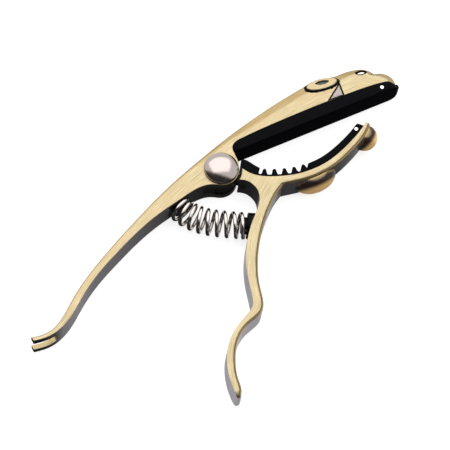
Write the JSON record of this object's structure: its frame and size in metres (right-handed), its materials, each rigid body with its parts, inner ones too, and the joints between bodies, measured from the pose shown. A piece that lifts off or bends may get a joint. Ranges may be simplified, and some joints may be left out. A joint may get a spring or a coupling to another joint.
{
  "type": "guitar capo",
  "caption": "Sprung trigger capo with a padded clamping arm shaped as an animal's head, a curved jaw behind the neck and a bridge pin fork on its handle.",
  "frame": {"origin": "centre of the string pad's contact face, at mid thickness", "axes": "+X along the string pad towards the nose, -Y the way the string pad presses, +Z along the pivot towards its domed cap"},
  "size_m": [0.165, 0.1004, 0.0146],
  "materials": {
    "antique_brass": "brushed antique plating, darker in the recesses and on the edges",
    "silicone": "satin black silicone",
    "satin_steel": "satin polished",
    "steel": "plain",
    "spring_steel": "bright nickel",
    "bush_brass": "plain",
    "nylon": "plain",
    "pale_enamel": "pale enamel fill",
    "dark_enamel": "dark enamel fill"
  },
  "bodies": {
    "string_lever": {"string_arm": "antique_brass", "string_pad": "silicone", "string_pad_pin": "steel", "pivot_pin": "steel", "pivot_cap": "satin_steel", "thrust_washer_front": "nylon", "thrust_washer_back": "nylon", "spring": "spring_steel", "tooth_inlay_front": "pale_enamel", "tooth_inlay_back": "pale_enamel", "eye_pupil_front": "dark_enamel", "eye_pupil_back": "dark_enamel", "nostril_bead_front": "steel", "nostril_bead_back": "steel"},
    "cradle_lever": {"cradle_arm": "antique_brass", "cradle_pad": "silicone", "cradle_pad_pin": "steel", "pivot_bush": "bush_brass"}
  },
  "joints": [
    {"name": "jaw_hinge", "type": "hinge", "parent": "string_lever", "child": "cradle_lever", "pos_m": [-0.042, -0.0044, 0], "axis": [0, 0, -1], "range_deg": [0, 30], "stiffness_Nm_per_rad": 1, "springref_deg": -28.65, "deforming": ["spring"]}
  ]
}
